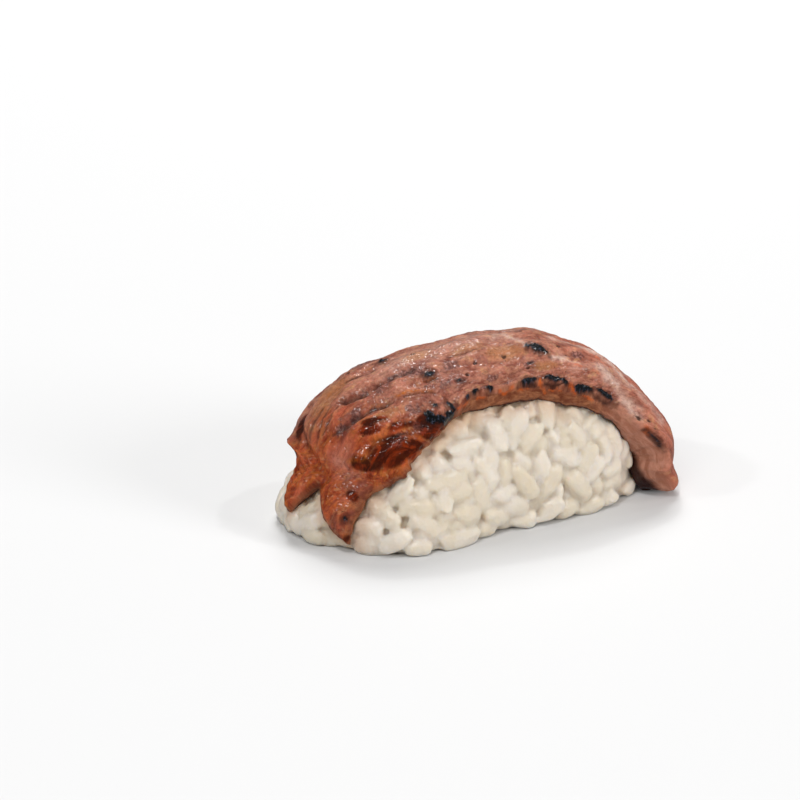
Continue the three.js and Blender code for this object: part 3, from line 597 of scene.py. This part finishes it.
# The rice
rice = {
    "length": 6.9, "width": 2.95, "sides": 10, "rings": 9,
    # Each grain's own size, length, girth and flatness: the least share, and the most added at random
    "sizes": (0.86, 0.26), "lengths": (0.55, 0.65), "girths": (0.84, 0.2), "flatnesses": (0.82, 0.16),
    "bend": 0.5, "dents": 0.10, "belly": 0.20, "plumpness": 1.18, "endPower": 0.86,
    "endGirths": (0.7, 1.35), "facets": 7, "facetReach": 0.75,
    # How the grains lie: their number, depth in mm and lean in radians, as some stand out of the ball
    "outerCount": 290, "innerCount": 200, "outerDepth": 1.25, "innerDepth": 2.9, "depthSpread": 0.6,
    "standingShare": 0.15, "standingLeans": (0.5, 0.6), "lyingLean": 0.3,
    "lowestStart": 0.5, "fadeHeight": 20.0, "farthestUnder": 5.0, "underBeef": 0.5, "coveredFrom": -0.6,
    "footShare": 0.92, "layFlat": 0.6, "most": 1.0,
    # How they are pushed apart, and how the hand presses them
    "passes": 60, "pairEvery": 6, "pairReach": 4.2, "squeeze": 0.9, "push": 0.28, "pushLimit": 0.8,
    "turning": 0.45, "sinking": 0.7, "pressedFrom": 0.4, "pressedShare": 0.5, "seed": 5,
    "coreSink": 1.25, "coreRough": 1.0, "coreFloor": 0.3, "voxel": 0.29, "smoothing": 1,
}


def ballSamples():
    # A dense set of points over the ball with their normals and slice coordinates
    turns, levels = np.meshgrid(np.radians(np.arange(0, 360, 1.6)), np.linspace(-0.62, 1, 90),
                                indexing="ij")
    turns, levels = turns.ravel(), levels.ravel()
    flat = np.sqrt(np.maximum(1 - levels ** 2, 0))
    along = np.arctan2(flat * np.cos(turns), levels)
    across = np.arcsin(np.clip(flat * np.sin(turns), -1, 1))
    place = ballPoint(along, across)
    step = 0.02
    normal = np.cross(ballPoint(along + step, across) - ballPoint(along - step, across),
                      ballPoint(along, across + step) - ballPoint(along, across - step))
    s = np.interp(along, alongTable[0], alongTable[1])
    t = np.interp(across, acrossTable[0], acrossTable[1])
    keep = place[:, 2] > -3
    return place[keep], unit(normal)[keep], s[keep], t[keep]


def coverDepth(s, t):
    # How far inside the slice's outline a spot lies, in mm; below 0 it is in the open
    front = t - through(beef["frontEdge"], s)
    back = through(beef["backEdge"], s) - t
    left = s - through(beef["leftEnd"], t)
    right = through(beef["rightEnd"], t) - s
    return np.minimum(np.minimum(front, back), np.minimum(left, right))


def treeOf(points):
    tree = KDTree(len(points))
    for i, point in enumerate(points):
        tree.insert(point, i)
    tree.balance()
    return tree


def nearestOf(tree, points):
    return np.array([tree.find(point)[1] for point in points])


def unit(vectors):
    return vectors / np.maximum(np.linalg.norm(vectors, axis=-1, keepdims=True), 1e-9)


def spread(random, shares, count=None):
    return shares[0] + shares[1] * random.random(count)


surface, surfaceNormal, surfaceS, surfaceT = ballSamples()
surfaceCover = coverDepth(surfaceS, surfaceT)
surfaceTree = treeOf(surface)


def heightOver(points, index):
    # How far points stand out of the ball's form, from the sample nearest to each
    return np.sum((points - surface[index]) * surfaceNormal[index], axis=1)


def scatterGrains(random):
    # Grains at random spots of the ball, fewer far from its waist
    usable = np.nonzero((surface[:, 2] > rice["lowestStart"]) & (surfaceCover < rice["farthestUnder"]))[0]
    weight = np.sqrt(np.maximum(1 - ((surface[usable, 2] - ball["waist"]) / rice["fadeHeight"]) ** 2, 0.05))
    outer, inner = rice["outerCount"], rice["innerCount"]
    total = outer + inner
    pick = random.choice(usable, total, p=weight / weight.sum())
    depth = np.concatenate([rice["outerDepth"] + rice["depthSpread"] * (random.random(outer) - 0.5) * 2,
                            np.full(inner, rice["innerDepth"])])
    size = spread(random, rice["sizes"], total)
    half = (rice["length"] / 2 - rice["width"] / 2) * size * spread(random, rice["lengths"], total)
    radius = rice["width"] / 2 * size * spread(random, rice["girths"], total)
    standing = random.random(total) < rice["standingShare"]
    lean = np.where(standing, spread(random, rice["standingLeans"], total),
                    rice["lyingLean"] * random.random(total))
    spin = random.random(total) * 2 * math.pi
    side = unit(np.cross(surfaceNormal[pick], [0, 0, 1.0]))
    up = np.cross(surfaceNormal[pick], side)
    axis = side * np.cos(spin)[:, None] + up * np.sin(spin)[:, None]
    axis = axis * np.cos(lean)[:, None] + surfaceNormal[pick] * np.sin(lean)[:, None]
    return surface[pick].copy(), axis, half, radius, depth, lean


def beadsOf(centre, axis, half):
    # Each grain as three balls in a row
    return np.concatenate([centre - axis * half[:, None], centre, centre + axis * half[:, None]])


def touchingPairs(beads, total):
    near = treeOf(beads)
    found = [(i, j) for i, bead in enumerate(beads) for _, j, _ in near.find_range(bead, rice["pairReach"])
             if j > i and j % total != i % total]
    return np.array(found).T


def packGrains(random):
    # The grains are pushed apart while they stay at their depth under the ball's form
    centre, axis, half, radius, depth, lean = scatterGrains(random)
    total = len(centre)
    for step in range(rice["passes"]):
        index = nearestOf(surfaceTree, centre)
        out = surfaceNormal[index]
        tilt = np.sum(axis * out, axis=1)
        steepest = np.sin(lean) + 0.05
        over = np.where(np.abs(tilt) > steepest, tilt - np.copysign(steepest, tilt), 0)
        axis = unit(axis - out * over[:, None])
        rise = np.abs(np.sum(axis * out, axis=1)) * half
        level = heightOver(centre, index)
        wanted = -(depth + rise * 0.8)
        covered = np.minimum(wanted, -(radius + rise + rice["underBeef"]))
        wanted = np.where(surfaceCover[index] > rice["coveredFrom"], covered, wanted)
        centre = centre + out * ((wanted - level) * rice["sinking"])[:, None]
        low = radius * rice["footShare"] + np.abs(axis[:, 2]) * half
        grounded = centre[:, 2] < low
        centre[grounded, 2] = low[grounded]
        axis[grounded, 2] *= rice["layFlat"]

        beads = beadsOf(centre, axis, half)
        if step % rice["pairEvery"] == 0:
            first, second = touchingPairs(beads, total)
        gap = beads[first] - beads[second]
        far = np.linalg.norm(gap, axis=1)
        limit = (radius[first % total] + radius[second % total]) * rice["squeeze"]
        amount = np.maximum(limit - far, 0) / np.maximum(far, 1e-3) * rice["push"]
        push = np.zeros_like(beads)
        np.add.at(push, first, gap * amount[:, None])
        np.add.at(push, second, -gap * amount[:, None])
        length = np.linalg.norm(push, axis=1, keepdims=True)
        push *= np.minimum(1, rice["pushLimit"] / np.maximum(length, 1e-6))
        parts = push.reshape(3, total, 3)
        centre = centre + parts.mean(0)
        axis = unit(axis + (parts[2] - parts[0]) / (2 * half[:, None] + 1) * rice["turning"])
    tops = level + radius + rise
    centre = centre - out * np.maximum(tops - rice["most"], 0)[:, None]
    return centre, axis, half, radius


def grainBlank():
    # The points and faces of one ball with few sides, its poles along X
    bpy.ops.object.select_all(action="DESELECT")
    bpy.ops.mesh.primitive_uv_sphere_add(segments=rice["sides"], ring_count=rice["rings"], radius=1)
    blank = bpy.context.object
    bpy.ops.object.mode_set(mode="EDIT")
    bpy.ops.mesh.select_all(action="SELECT")
    bpy.ops.transform.rotate(value=math.pi / 2, orient_axis="Y", center_override=(0, 0, 0))
    bpy.ops.object.mode_set(mode="OBJECT")
    shape = readPoints(blank)
    faces = [tuple(polygon.vertices) for polygon in blank.data.polygons]
    bpy.data.objects.remove(blank, do_unlink=True)
    return shape, faces


def shapeGrains(random, centre, axis, half, radius):
    # Every grain drawn out, bent, dented and faceted in its own way
    shape, faces = grainBlank()
    long = np.sign(shape[:, 0]) * np.abs(shape[:, 0]) ** rice["endPower"]
    around = np.maximum(np.hypot(shape[:, 1], shape[:, 2]), 0.05)
    points, cells = [], []
    for i in range(len(centre)):
        out = unit(np.cross(axis[i], random.normal(size=3)))
        side = np.cross(axis[i], out)
        ends = random.uniform(*rice["endGirths"], 2)
        girth = around ** (np.where(long < 0, ends[0], ends[1]) - 1)
        belly = 1 + rice["belly"] * (random.random() - 0.5) * long
        belly = belly * (1 + rice["dents"] * (random.random(len(shape)) - 0.6))
        bend = rice["bend"] * (random.random() - 0.3) * (1 - long ** 2)
        flatness = spread(random, rice["flatnesses"])
        wide = shape[:, 1] * girth * belly * radius[i] * rice["plumpness"] + bend
        high = shape[:, 2] * girth * belly * radius[i] * rice["plumpness"] * flatness
        grain = np.outer(long * (half[i] + radius[i]), axis[i]) + np.outer(wide, side) + np.outer(high, out)
        # Flats where other grains pressed on it
        for way in unit(random.normal(size=(rice["facets"], 3))):
            reach = rice["facetReach"] * (radius[i] + half[i] * abs(way @ axis[i]))
            grain -= np.outer(np.maximum(grain @ way - reach, 0), way)
        points.append(centre[i] + grain)
        cells += [tuple(corner + i * len(shape) for corner in face) for face in faces]
    return np.concatenate(points), cells


def pressGrains(points):
    # The hand that presses the ball flattens what stands out of its form
    index = nearestOf(surfaceTree, points)
    pressed = np.maximum(heightOver(points, index) + rice["pressedFrom"], 0) * (1 - rice["pressedShare"])
    return points - surfaceNormal[index] * pressed[:, None]


def addCore():
    # The rice inside: a ball shaped to the form, a little in from it
    bpy.ops.object.select_all(action="DESELECT")
    bpy.ops.mesh.primitive_ico_sphere_add(subdivisions=6, radius=1)
    core = bpy.context.object
    core.name = "riceCore"
    flat = unit(readPoints(core))
    outer = ballPoint(np.arctan2(flat[:, 0], flat[:, 2]), np.arcsin(np.clip(flat[:, 1], -1, 1)))
    inward = unit(np.array([0, 0, ball["waist"]]) - outer)
    sink = rice["coreSink"] - rice["coreRough"] * noiseAt(outer, 2.6, 31, octaves=2)
    points = outer + inward * sink[:, None]
    points[:, 2] = np.maximum(points[:, 2], rice["coreFloor"])
    setPoints(core, points)
    return core


def drawSkin(grains, core):
    # One skin over grains and core, as cooked rice sticks together
    bpy.ops.object.select_all(action="DESELECT")
    core.select_set(True)
    grains.select_set(True)
    bpy.context.view_layer.objects.active = grains
    bpy.ops.object.join()
    skin = grains.modifiers.new("skin", "REMESH")
    skin.mode = "VOXEL"
    skin.voxel_size = rice["voxel"] * metres
    bpy.ops.object.modifier_apply(modifier="skin")
    soften = grains.modifiers.new("soften", "SMOOTH")
    soften.factor = 0.35
    soften.iterations = rice["smoothing"]
    bpy.ops.object.modifier_apply(modifier="soften")
    bpy.ops.object.shade_smooth()


def buildRice():
    random = np.random.default_rng(rice["seed"])
    centre, axis, half, radius = packGrains(random)
    points, cells = shapeGrains(random, centre, axis, half, radius)
    mesh = bpy.data.meshes.new("riceBall")
    mesh.from_pydata([(0, 0, 0)] * len(points), [], cells)
    grains = bpy.data.objects.new("riceBall", mesh)
    bpy.context.collection.objects.link(grains)
    setPoints(grains, pressGrains(points))
    drawSkin(grains, addCore())

    # Which grain each point of the skin lies on, and how deep it lies between the grains, which the colour
    # turns into painted shade
    place = readPoints(grains) / metres - shift
    place[:, 2] = np.maximum(place[:, 2], 0.02)
    setPoints(grains, place)
    owner = nearestOf(treeOf(beadsOf(centre, axis, half)), place) % len(centre)
    index = nearestOf(surfaceTree, place)
    tone = random.random(len(centre))
    setAttribute(grains, "tone", tone[owner])
    setAttribute(grains, "hollow", smoothStep(0.3, 2.2, -heightOver(place, index)))

    # Sauce soaks in under the slice's edge, most of all below the glaze
    sauce = 0.8 + 0.4 * hump(surfaceS, -9, 5) - 0.65 * smoothStep(12, 22, surfaceS)
    setAttribute(grains, "sauce", (smoothStep(-3.2, 0.3, surfaceCover) * sauce)[index])
    return grains


riceBall = buildRice()
print("rice ball:", len(riceBall.data.polygons), "faces")


# Materials
class Nodes:
    # The shader nodes of one material: each method adds a node and gives its output
    def __init__(self, name):
        self.material = bpy.data.materials.new(name)
        self.material.use_nodes = True
        self.tree = self.material.node_tree
        self.tree.nodes.clear()
        self.shader = self.add("BsdfPrincipled")
        self.fill(self.add("OutputMaterial"), {"Surface": self.shader.outputs["BSDF"]})

    def add(self, kind):
        return self.tree.nodes.new("ShaderNode" + kind)

    def fill(self, node, values):
        # Each input gets a number, a colour or another node's output
        for name, value in values.items():
            if isinstance(value, bpy.types.NodeSocket):
                self.tree.links.new(value, node.inputs[name])
            else:
                node.inputs[name].default_value = value

    def noise(self, vector, scale, detail=2, roughness=0.5, distortion=0.0):
        node = self.add("TexNoise")
        self.fill(node, {"Vector": vector, "Scale": scale, "Detail": detail, "Roughness": roughness,
                         "Distortion": distortion})
        return node.outputs["Fac"]

    def attribute(self, name):
        node = self.add("Attribute")
        node.attribute_name = name
        return node.outputs["Fac"]

    def ramp(self, value, low, high, toLow=0.0, toHigh=1.0, kind="SMOOTHSTEP"):
        node = self.add("MapRange")
        node.interpolation_type = kind
        self.fill(node, {"Value": value, "From Min": low, "From Max": high, "To Min": toLow,
                         "To Max": toHigh})
        return node.outputs["Result"]

    def math(self, operation, first, second):
        node = self.add("Math")
        node.operation = operation
        self.fill(node, {0: first, 1: second})
        return node.outputs["Value"]

    def times(self, first, second):
        return self.math("MULTIPLY", first, second)

    def plus(self, first, second):
        return self.math("ADD", first, second)

    def mix(self, factor, first, second, blend="MIX"):
        node = self.add("Mix")
        node.data_type = "RGBA"
        node.blend_type = blend
        self.fill(node, {"Factor": factor, 6: first, 7: second})
        return node.outputs[2]

    def wash(self, color, share, strength, tone):
        # A tone laid over a colour where the share is high
        return self.mix(self.times(share, strength), color, tone)

    def bump(self, height, strength, distance, normal=None):
        node = self.add("Bump")
        self.fill(node, {"Height": height, "Strength": strength, "Distance": distance})
        if normal is not None:
            self.fill(node, {"Normal": normal})
        return node.outputs["Normal"]

    def stretch(self, vector, *scale):
        node = self.add("Mapping")
        self.fill(node, {"Vector": vector, "Scale": scale})
        return node.outputs["Vector"]


def linear(*levels):
    # A colour from its levels of red, green and blue, 0 to 255, for a shader
    shares = [level / 255 for level in levels]
    return tuple(x / 12.92 if x <= 0.04045 else ((x + 0.055) / 1.055) ** 2.4 for x in shares) + (1,)


beefColors = {
    "leftDark": (118, 38, 14), "leftLight": (184, 86, 48), "leftPatch": (188, 108, 44),
    "middleDark": (118, 62, 48), "middleLight": (178, 115, 95), "middlePatch": (184, 129, 102),
    "rightDark": (138, 64, 46), "rightLight": (176, 100, 77), "rightPatch": (185, 115, 91),
    "tan": (166, 112, 66), "purple": (112, 64, 56), "pink": (186, 94, 66), "rust": (124, 60, 44),
    # The pale tone serves the lines of fat and the painted sheen along the crest
    "straw": (190, 140, 98), "paleFatAndSheen": (216, 190, 176), "crumb": (84, 44, 40), "crumbLight": (160, 110, 98),
    "glaze": (54, 11, 0), "glazeThin": (120, 36, 2), "fat": (198, 86, 20), "fatDeep": (166, 88, 26),
    # The char's blue-grey second tone is a painted sheen
    # The crack tone is painted shade in the cracks, creases and pits; it also darkens the specks
    "crack": (38, 15, 10), "scorch": (58, 26, 16), "char": (6, 7, 10), "charPaintedSheen": (60, 70, 88),
    "cutDark": (101, 51, 30), "cutLight": (157, 100, 67), "flapDark": (156, 100, 78),
    # The under tone is painted shade on the underside
    "flapLight": (190, 134, 112), "under": (48, 14, 8),
}

# Noise on the slice's map, in mm: stretch along and across it, scale, detail, roughness and distortion
beefPatterns = {
    "fibre": (0.22, 1.1, 1.0, 4, 0.65, 0.5), "broad": (1, 1, 0.22, 3, 0.55, 0.3),
    "mottle": (0.38, 0.85, 1.0, 4, 0.62, 0.6), "patches": (0.55, 1.2, 0.8, 4, 0.7, 0.8),
    "speck": (1, 1, 1.7, 3, 0.6, 0), "streak": (0.10, 0.62, 1.0, 3, 0.55, 0.9),
    "grain": (1, 1, 2.2, 4, 0.7, 0), "beads": (1, 1, 1.1, 1, 0.5, 0), "dapple": (1, 1, 0.75, 3, 0.6, 0.4),
}


def meatColor(meat, marks, pattern, tones):
    # Red-brown low at the left end, browner over the top, pink along the right end's far side, with painted
    # shade in the relief's hollows and painted light on its ridges
    # Lightness from the mottle, plus painted shade and light from the relief's height
    mottleAndReliefShade = meat.ramp(meat.plus(pattern["mottle"], meat.times(marks["rise"], 0.15)), 0.38, 0.78)
    patch = meat.ramp(pattern["patches"], 0.42, 0.70, 0.0, 0.65)
    left, middle, right = (
        meat.mix(patch, meat.mix(mottleAndReliefShade, tones[part + "Dark"], tones[part + "Light"]), tones[part + "Patch"])
        for part in ("left", "middle", "right"))
    wandering = meat.plus(marks["along"], meat.times(meat.plus(pattern["broad"], -0.5), 12))
    lowLeft = meat.plus(wandering, meat.times(marks["across"], 0.8))
    color = meat.mix(meat.ramp(lowLeft, -26, -17), left, middle)
    farSide = meat.plus(meat.times(wandering, 0.5), marks["across"])
    band = meat.times(meat.ramp(farSide, 3.5, 6.5), meat.ramp(farSide, 16, 10))
    color = meat.mix(meat.times(band, meat.ramp(marks["along"], 13, 21)), color, right)
    color = meat.mix(meat.ramp(pattern["dapple"], 0.46, 0.34, 0.0, 0.5), color, tones["rust"])
    color = meat.mix(meat.ramp(pattern["dapple"], 0.56, 0.68, 0.0, 0.45), color, tones["straw"])
    for name, strength in (("tan", 0.5), ("purple", 0.6), ("pink", 0.65)):
        color = meat.wash(color, marks[name], strength, tones[name])
    color = meat.mix(0.5, color, meat.ramp(pattern["grain"], 0.34, 0.66, 0.60, 1.28), "MULTIPLY")
    color = meat.wash(color, meat.ramp(pattern["fibre"], 0.56, 0.72), 0.25, tones["middleDark"])
    thin = meat.times(meat.ramp(pattern["streak"], 0.54, 0.72), meat.ramp(marks["along"], -12, 8))
    color = meat.wash(color, thin, 0.25, tones["paleFatAndSheen"])
    broken = meat.ramp(pattern["grain"], 0.32, 0.55, 0.3, 0.85)
    # The pale lines of fat and the painted sheen along the crest, broken up by the grain
    color = meat.wash(color, marks["paleFatAndSheen"], broken, tones["paleFatAndSheen"])
    crumbs = meat.mix(meat.ramp(pattern["grain"], 0.45, 0.62), tones["crumb"], tones["crumbLight"])
    color = meat.wash(color, marks["crumb"], 0.75, crumbs)
    return meat.wash(color, meat.ramp(pattern["speck"], 0.64, 0.71), 0.65, tones["crack"])


def searedColor(meat, color, marks, pattern, tones):
    # The cut face and the painted shade on the underside, then what the torch and the sauce left on the
    # slice, with painted shade in the cracks and a painted sheen on the char
    soft = meat.ramp(pattern["mottle"], 0.34, 0.72)
    cut = meat.mix(meat.ramp(marks["along"], 20, 30), meat.mix(soft, tones["cutDark"], tones["cutLight"]),
                   meat.mix(soft, tones["flapDark"], tones["flapLight"]))
    color = meat.mix(marks["cut"], color, cut)
    # Painted shade on the underside and the lowest part of the cut face
    color = meat.mix(marks["under"], color, tones["under"])
    glaze = meat.mix(meat.ramp(pattern["mottle"], 0.68, 0.46), tones["glazeThin"], tones["glaze"])
    color = meat.mix(meat.ramp(marks["glaze"], 0.0, 0.8, 0.0, 0.96), color, glaze)
    color = meat.wash(color, marks["scorch"], 0.6, tones["scorch"])
    deep = meat.times(meat.ramp(marks["across"], -10.2, -9.2), meat.ramp(marks["along"], 12, 4))
    amber = meat.mix(deep, tones["fat"], tones["fatDeep"])
    color = meat.wash(color, marks["fat"], meat.ramp(pattern["grain"], 0.36, 0.56, 0.2, 0.85), amber)
    # Painted shade in the cracks, creases and pits
    color = meat.wash(color, marks["crack"], 0.9, tones["crack"])
    # Black char with a painted blue-grey sheen where the grain noise is high
    char = meat.mix(meat.ramp(pattern["grain"], 0.50, 0.72), tones["char"], tones["charPaintedSheen"])
    return meat.mix(marks["char"], color, char)


def beefMaterial():
    meat = Nodes("searedBeef")
    flatMap = meat.add("UVMap")
    flatMap.uv_map = "sliceMap"
    place = meat.stretch(flatMap.outputs["UV"], 100, 100, 100)
    pattern = {name: meat.noise(meat.stretch(place, along, across, 1), *rest)
               for name, (along, across, *rest) in beefPatterns.items()}
    marks = {name: meat.attribute(name) for name in
             ("along", "across", "rise", "cut", "under", "crack", "paleFatAndSheen", "fat", *markEdges)}
    tones = {name: linear(*levels) for name, levels in beefColors.items()}
    color = meatColor(meat, marks, pattern, tones)

    # Wet where the glaze lies, and glittering on the crumbs
    roughness = meat.ramp(pattern["mottle"], 0.3, 0.7, 0.28, 0.48, kind="LINEAR")
    roughness = meat.plus(roughness, meat.times(marks["glaze"], -0.14))
    gloss = meat.plus(meat.ramp(marks["glaze"], 0.0, 1.0, 0.08, 0.02), meat.times(marks["crumb"], 0.2))
    gloss = meat.plus(gloss, meat.times(marks["char"], 0.15))
    onTop = meat.ramp(marks["cut"], 0.0, 1.0, 1.0, 0.1)
    normal = meat.bump(meat.times(pattern["fibre"], onTop), 0.3, 0.0005)
    normal = meat.bump(pattern["mottle"], 0.3, 0.0006, normal)
    meat.fill(meat.shader, {
        "Base Color": searedColor(meat, color, marks, pattern, tones),
        "Roughness": roughness, "Specular IOR Level": gloss,
        "Coat Weight": meat.ramp(marks["crumb"], 0.0, 1.0, 0.5, 0.8), "Coat Roughness": 0.18,
        "Subsurface Weight": 0.15, "Subsurface Radius": (1.0, 0.4, 0.2), "Subsurface Scale": 0.0010,
        "Normal": meat.bump(pattern["grain"], 0.4, 0.0004, normal),
        "Coat Normal": meat.bump(pattern["beads"], 0.6, 0.0006),
    })
    return meat.material


# The grains' own tones, then painted shade in the hollows, darker and browner painted shade in the deepest
# gaps between grains, and where sauce has soaked in
riceColors = {
    "grey": (214, 203, 185), "white": (221, 212, 200), "cloudy": (208, 196, 174),
    "hollow": (200, 180, 148), "gap": (146, 108, 62), "sauce": (200, 160, 127),
}


def riceMaterial():
    grains = Nodes("cookedRice")
    place = grains.add("TexCoord").outputs["Object"]
    tone, hollow, sauce = (grains.attribute(name) for name in ("tone", "hollow", "sauce"))
    tones = {name: linear(*levels) for name, levels in riceColors.items()}
    color = grains.mix(grains.ramp(tone, 0.0, 0.8), tones["grey"], tones["white"])
    cloud = grains.ramp(grains.noise(place, 220, 3), 0.45, 0.7, 0.0, 0.35)
    color = grains.mix(cloud, color, tones["cloudy"])
    # Painted shade in the hollows between the grains, and darker, browner painted shade in the deepest gaps
    color = grains.wash(color, hollow, 0.7, tones["hollow"])
    color = grains.mix(grains.ramp(hollow, 0.80, 1.0, 0.0, 0.8), color, tones["gap"])
    lumpy = grains.bump(grains.noise(place, 600), 0.5, 0.0006)
    grains.fill(grains.shader, {
        "Base Color": grains.wash(color, sauce, 0.8, tones["sauce"]), "Roughness": 0.36,
        "Subsurface Weight": 1.0, "Subsurface Radius": (1.0, 0.85, 0.65), "Subsurface Scale": 0.0018,
        "Coat Weight": 0.4, "Coat Roughness": 0.22,
        "Normal": grains.bump(grains.noise(place, 1400, 4, 0.6), 0.4, 0.0003, lumpy),
    })
    return grains.material


beefSlice.data.materials.append(beefMaterial())
riceBall.data.materials.append(riceMaterial())
for piece, node in ((beefSlice, "beef"), (riceBall, "rice")):
    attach(piece, "root")
    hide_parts(node)
print("materials are on")


# The floor, the light and the camera
stage = {
    "floorSize": 5.0, "floorColor": (214, 214, 214),
    # The camera, in degrees and metres, and the spot of the ball, in mm, that it shows at a pixel
    "turn": -31.0, "height": 20.0, "away": 0.45, "aim": (0, 0, 12.0), "aimPixel": (456.6, 421.6),
    "pixelsPerMm": 6.9, "imageSize": 800, "sensor": 36.0,
    "worldStrength": 0.14,
}

# Each lamp's place and size in metres and its power in watts. The large ones give light without a veil of
# reflections, and the small ones give the glints.
lamps = {
    "softboxBehind": ((0.45, 0.75, 1.05), 0.70, 15.0), "softboxRight": ((0.75, -1.20, 0.50), 0.60, 12.0),
    "softboxLeft": ((-0.95, -0.80, 0.90), 0.80, 6.8),
    "sparkFront": ((-0.30, -0.25, 0.90), 0.06, 2.0), "sparkBehind": ((0.25, 0.55, 0.75), 0.06, 1.1),
    "sparkLeft": ((-0.70, 0.15, 0.60), 0.05, 1.0), "sparkRight": ((0.55, -0.25, 0.75), 0.05, 1.0),
}
lampAim = Vector((0, 0, 0.01))


def addFloor():
    bpy.ops.object.select_all(action="DESELECT")
    bpy.ops.mesh.primitive_plane_add(size=stage["floorSize"])
    floor = bpy.context.object
    floor.name = "floor"
    paint = Nodes("paleFloor")
    paint.fill(paint.shader, {"Base Color": linear(*stage["floorColor"]), "Roughness": 0.7})
    floor.data.materials.append(paint.material)
    floor.visible_glossy = False


def addLight(name, place, size, power):
    bpy.ops.object.light_add(type="AREA", location=place)
    lamp = bpy.context.object
    lamp.name = name
    lamp.data.shape = "DISK"
    lamp.data.size = size
    lamp.data.energy = power
    lamp.visible_glossy = name.startswith("spark")
    lamp.rotation_euler = (lampAim - Vector(place)).to_track_quat("-Z", "Y").to_euler()


def addCamera():
    turn, height = math.radians(stage["turn"]), math.radians(stage["height"])
    back = Vector((math.sin(turn) * math.cos(height), -math.cos(turn) * math.cos(height), math.sin(height)))
    right = Vector((math.cos(turn), math.sin(turn), 0))
    up = right.cross(-back)
    target = (Vector(stage["aim"]) + Vector(shift)) * metres
    place = target + back * stage["away"]
    middle = stage["imageSize"] / 2
    sideways = (middle - stage["aimPixel"][0]) / stage["pixelsPerMm"] * metres
    upwards = (stage["aimPixel"][1] - middle) / stage["pixelsPerMm"] * metres
    centre = target + right * sideways + up * upwards
    bpy.ops.object.camera_add(location=place)
    camera = bpy.context.object
    camera.rotation_euler = (centre - place).to_track_quat("-Z", "Y").to_euler()
    focalPixels = stage["pixelsPerMm"] * stage["away"] / metres
    camera.data.sensor_width = stage["sensor"]
    camera.data.lens = focalPixels * stage["sensor"] / stage["imageSize"]
    camera.data.clip_start = 0.01
    bpy.context.scene.camera = camera


def addWorld():
    world = bpy.data.worlds.new("studio")
    world.use_nodes = True
    background = world.node_tree.nodes["Background"]
    background.inputs["Color"].default_value = (1, 1, 1, 1)
    background.inputs["Strength"].default_value = stage["worldStrength"]
    bpy.context.scene.world = world
    bpy.context.scene.view_settings.view_transform = "Standard"


addFloor()
for name, lamp in lamps.items():
    addLight(name, *lamp)
addCamera()
addWorld()
print("floor, lights and camera are set")
